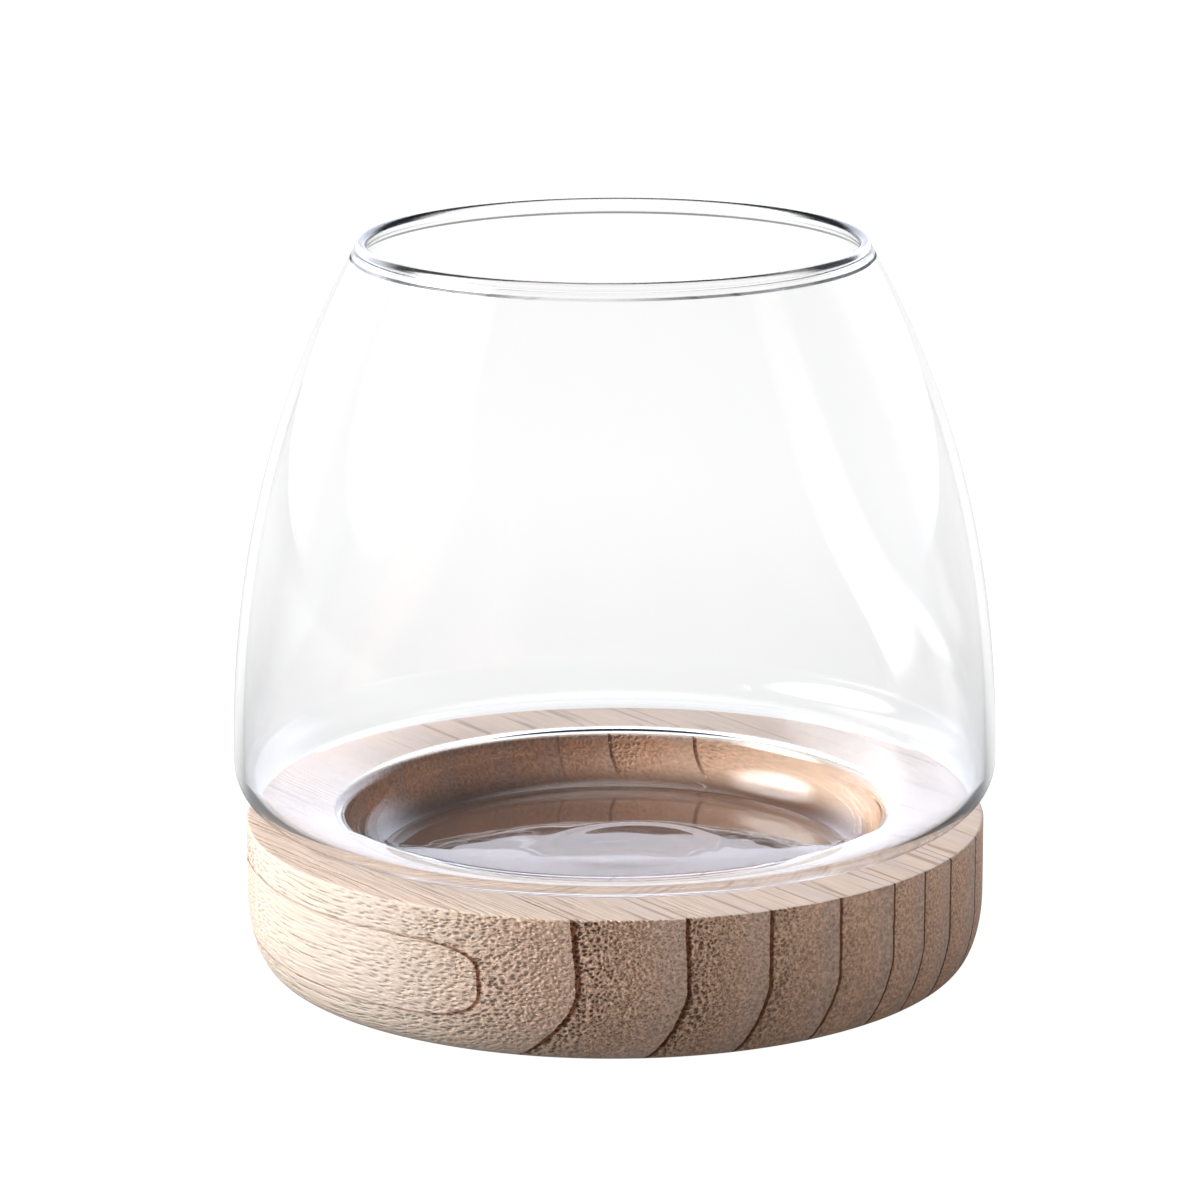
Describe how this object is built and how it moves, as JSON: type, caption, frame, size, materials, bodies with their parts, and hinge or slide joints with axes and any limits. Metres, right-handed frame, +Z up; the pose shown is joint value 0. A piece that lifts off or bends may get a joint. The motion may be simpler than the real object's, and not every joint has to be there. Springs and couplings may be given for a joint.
{
  "type": "glass bowl vase on a wooden base",
  "caption": "Open blown-glass vessel, wide at the heel and narrowing to a bead rim, whose foot drops into a bowl-shaped recess in a turned wooden disc.",
  "frame": {"origin": "centre of the base's flat underside, on the turning axis", "axes": "+Z up along the axis that both pieces were turned about; -Y is the front, +X the right as seen from it"},
  "size_m": [0.15, 0.15, 0.1428],
  "materials": {
    "clear_glass": "clear colourless blown glass, fire-polished, smooth and glossy",
    "turned_wood": "pale ring-porous wood, turned and sanded, bare or thinly oiled, matte"
  },
  "bodies": {
    "base": {"wood_base": "turned_wood"},
    "vessel": {"glass_vessel": "clear_glass"}
  },
  "joints": [
    {"name": "vessel_lift", "type": "slide", "parent": "base", "child": "vessel", "axis": [0, 0, 1], "range_m": [0, 0.04]}
  ]
}
